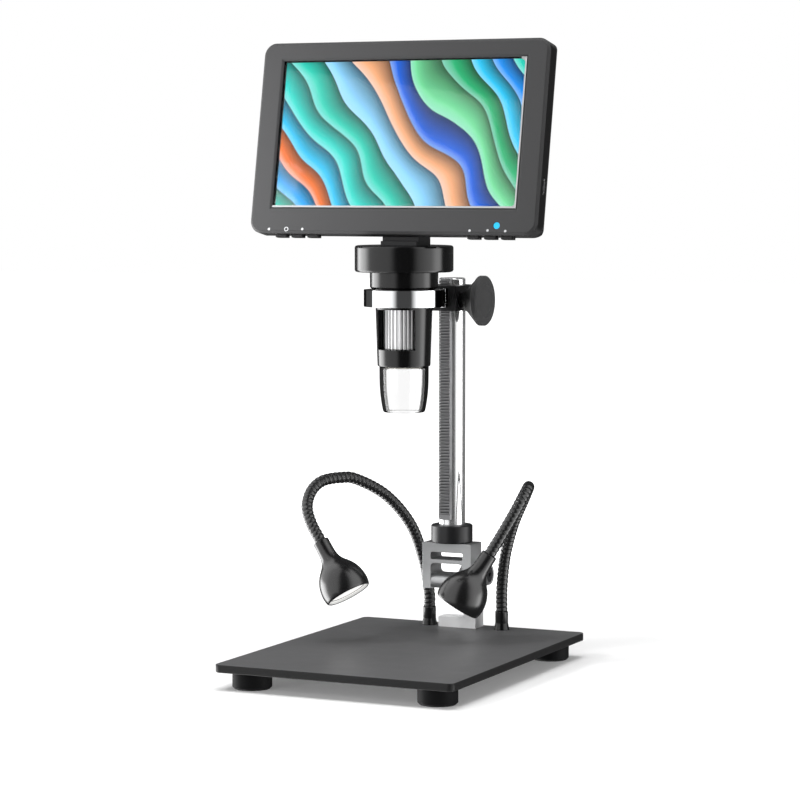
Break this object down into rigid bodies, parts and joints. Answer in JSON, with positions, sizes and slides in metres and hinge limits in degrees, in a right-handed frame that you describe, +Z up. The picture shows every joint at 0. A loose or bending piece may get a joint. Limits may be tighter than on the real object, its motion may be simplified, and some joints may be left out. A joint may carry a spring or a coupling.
{
  "type": "digital microscope with screen",
  "caption": "Desktop digital microscope: a screen and lens head on a rack-and-pinion column with a tilting foot, over a flat base plate with gooseneck lamps.",
  "frame": {"origin": "on the floor under the middle of the base plate", "axes": "+Z up, -Y towards the user who looks at the screen, +X to the user's right (the side of the focus knob)"},
  "size_m": [0.1824, 0.197, 0.3693],
  "materials": {
    "plate": "satin dark grey",
    "rubber": "matte black",
    "steel": "turned",
    "chrome": "polished",
    "alloy": "blasted",
    "black_alloy": "black, glossy satin",
    "gooseneck": "ribbed black sleeve",
    "shade": "glossy black",
    "case": "satin dark grey",
    "case_rear": "fine black",
    "key": "black",
    "window": "clear",
    "panel": "screen panel",
    "board": "circuit board",
    "cell": "pouch",
    "clear": "clear moulded",
    "lens": "polished",
    "liner": "slippery liner",
    "bush": "turned",
    "light": "light pipe",
    "diffuser": "diffusing"
  },
  "bodies": {
    "stand": {"base_plate": "plate", "foot_front_left": "rubber", "foot_front_right": "rubber", "foot_back_left": "rubber", "foot_back_right": "rubber", "base_screws": "steel", "hinge_foot": "alloy", "tilt_bolt": "steel", "tilt_washer": "liner", "tilt_nut": "steel", "lamp_root_left": "black_alloy", "lamp_root_right": "black_alloy", "lamp_root_nuts": "steel"},
    "column": {"tilt_block": "alloy", "column_nut": "black_alloy", "column": "chrome", "rack": "chrome"},
    "carriage": {"carriage_housing": "black_alloy", "carriage_liner": "liner", "pinion_bush": "bush", "ring_arm": "chrome", "head_barrel": "black_alloy", "head_collar": "black_alloy", "head_disc": "black_alloy", "nosepiece": "clear", "led_ring_board": "diffuser", "ring_leds": "diffuser", "sensor_board": "board", "monitor_neck": "black_alloy", "neck_screws": "steel", "hinge_pin": "steel"},
    "pinion": {"pinion_shaft": "steel", "focus_knob": "case_rear"},
    "wheel": {"focus_wheel": "alloy"},
    "optics": {"lens_tube": "black_alloy", "objective_lens": "lens"},
    "monitor": {"monitor_hinge": "black_alloy", "front_bezel": "case", "rear_cover": "case_rear", "lcd_panel": "panel", "screen_window": "window", "main_board": "board", "battery_pack": "cell", "usb_socket": "steel", "power_light": "light", "case_screws": "steel"},
    "neck_left_lower": {"gooseneck_left_lower": "gooseneck"},
    "neck_left_upper": {"gooseneck_left_upper": "gooseneck"},
    "lamp_left": {"lamp_shade_left": "shade", "lamp_lens_left": "diffuser"},
    "neck_right_lower": {"gooseneck_right_lower": "gooseneck"},
    "neck_right_upper": {"gooseneck_right_upper": "gooseneck"},
    "lamp_right": {"lamp_shade_right": "shade", "lamp_lens_right": "diffuser"},
    "key_left_1": {"button_left_1": "key"},
    "key_left_2": {"button_left_2": "key"},
    "key_left_3": {"button_left_3": "key"},
    "key_right_1": {"button_right_1": "key"},
    "key_right_2": {"button_right_2": "key"},
    "key_right_3": {"button_right_3": "key"}
  },
  "joints": [
    {"name": "column_tilt", "type": "hinge", "parent": "stand", "child": "column", "pos_m": [0, 0.088, 0.048], "axis": [1, 0, 0], "range_deg": [-15, 5]},
    {"name": "carriage_slide", "type": "slide", "parent": "column", "child": "carriage", "axis": [0, 0, 1], "range_m": [-0.12, 0]},
    {"name": "pinion_turn", "type": "hinge", "parent": "carriage", "child": "pinion", "pos_m": [0, 0.05085, 0.2175], "axis": [1, 0, 0], "range_deg": [-5, 1645]},
    {"name": "lens_slide", "type": "slide", "parent": "carriage", "child": "optics", "axis": [0, 0, 1], "range_m": [-0.003, 0.003]},
    {"name": "focus_wheel_turn", "type": "hinge", "parent": "carriage", "child": "wheel", "pos_m": [0, -0.002, 0.2025], "axis": [0, 0, 1], "range_deg": [-135.5, 135.5]},
    {"name": "monitor_tilt", "type": "hinge", "parent": "carriage", "child": "monitor", "pos_m": [0, 0, 0.262], "axis": [1, 0, 0], "range_deg": [-22, 10]},
    {"name": "key_left_1_press", "type": "slide", "parent": "monitor", "child": "key_left_1", "axis": [0, 0.1857, 0.9826], "range_m": [0, 0.0009], "stiffness_N_per_m": 400, "springref_m": -0.0006},
    {"name": "key_left_2_press", "type": "slide", "parent": "monitor", "child": "key_left_2", "axis": [0, 0.1857, 0.9826], "range_m": [0, 0.0009], "stiffness_N_per_m": 400, "springref_m": -0.0006},
    {"name": "key_left_3_press", "type": "slide", "parent": "monitor", "child": "key_left_3", "axis": [0, 0.1857, 0.9826], "range_m": [0, 0.0009], "stiffness_N_per_m": 400, "springref_m": -0.0006},
    {"name": "key_right_1_press", "type": "slide", "parent": "monitor", "child": "key_right_1", "axis": [0, 0.1857, 0.9826], "range_m": [0, 0.0009], "stiffness_N_per_m": 400, "springref_m": -0.0006},
    {"name": "key_right_2_press", "type": "slide", "parent": "monitor", "child": "key_right_2", "axis": [0, 0.1857, 0.9826], "range_m": [0, 0.0009], "stiffness_N_per_m": 400, "springref_m": -0.0006},
    {"name": "key_right_3_press", "type": "slide", "parent": "monitor", "child": "key_right_3", "axis": [0, 0.1857, 0.9826], "range_m": [0, 0.0009], "stiffness_N_per_m": 400, "springref_m": -0.0006},
    {"name": "lamp_left_swing", "type": "hinge", "parent": "stand", "child": "neck_left_lower", "pos_m": [-0.0242, 0.087, 0.0265], "axis": [0, 0, 1], "range_deg": [-50, 2]},
    {"name": "lamp_left_bend", "type": "hinge", "parent": "neck_left_lower", "child": "neck_left_upper", "pos_m": [-0.0622, 0.039, 0.109], "axis": [-0.8051, 0.5932, 0], "range_deg": [-5, 30]},
    {"name": "lamp_left_head", "type": "hinge", "parent": "neck_left_upper", "child": "lamp_left", "pos_m": [-0.059, 0.0054, 0.0753], "axis": [-0.1184, -0.993, 0], "range_deg": [-33, 3]},
    {"name": "lamp_right_swing", "type": "hinge", "parent": "stand", "child": "neck_right_lower", "pos_m": [0.0242, 0.087, 0.0265], "axis": [0, 0, 1], "range_deg": [-2, 50]},
    {"name": "lamp_right_bend", "type": "hinge", "parent": "neck_right_lower", "child": "neck_right_upper", "pos_m": [0.0522, 0.062, 0.1065], "axis": [0, 0, 1], "range_deg": [-10, 30]},
    {"name": "lamp_right_head", "type": "hinge", "parent": "neck_right_upper", "child": "lamp_right", "pos_m": [0.038, 0.038, 0.0689], "axis": [-0.4003, 0.9164, 0], "range_deg": [-32, 3]}
  ],
  "couplings": [
    {"joint": "pinion_turn", "follows": "carriage_slide", "rad_per_m": -238.1},
    {"joint": "focus_wheel_turn", "follows": "lens_slide", "rad_per_m": 785.4}
  ]
}
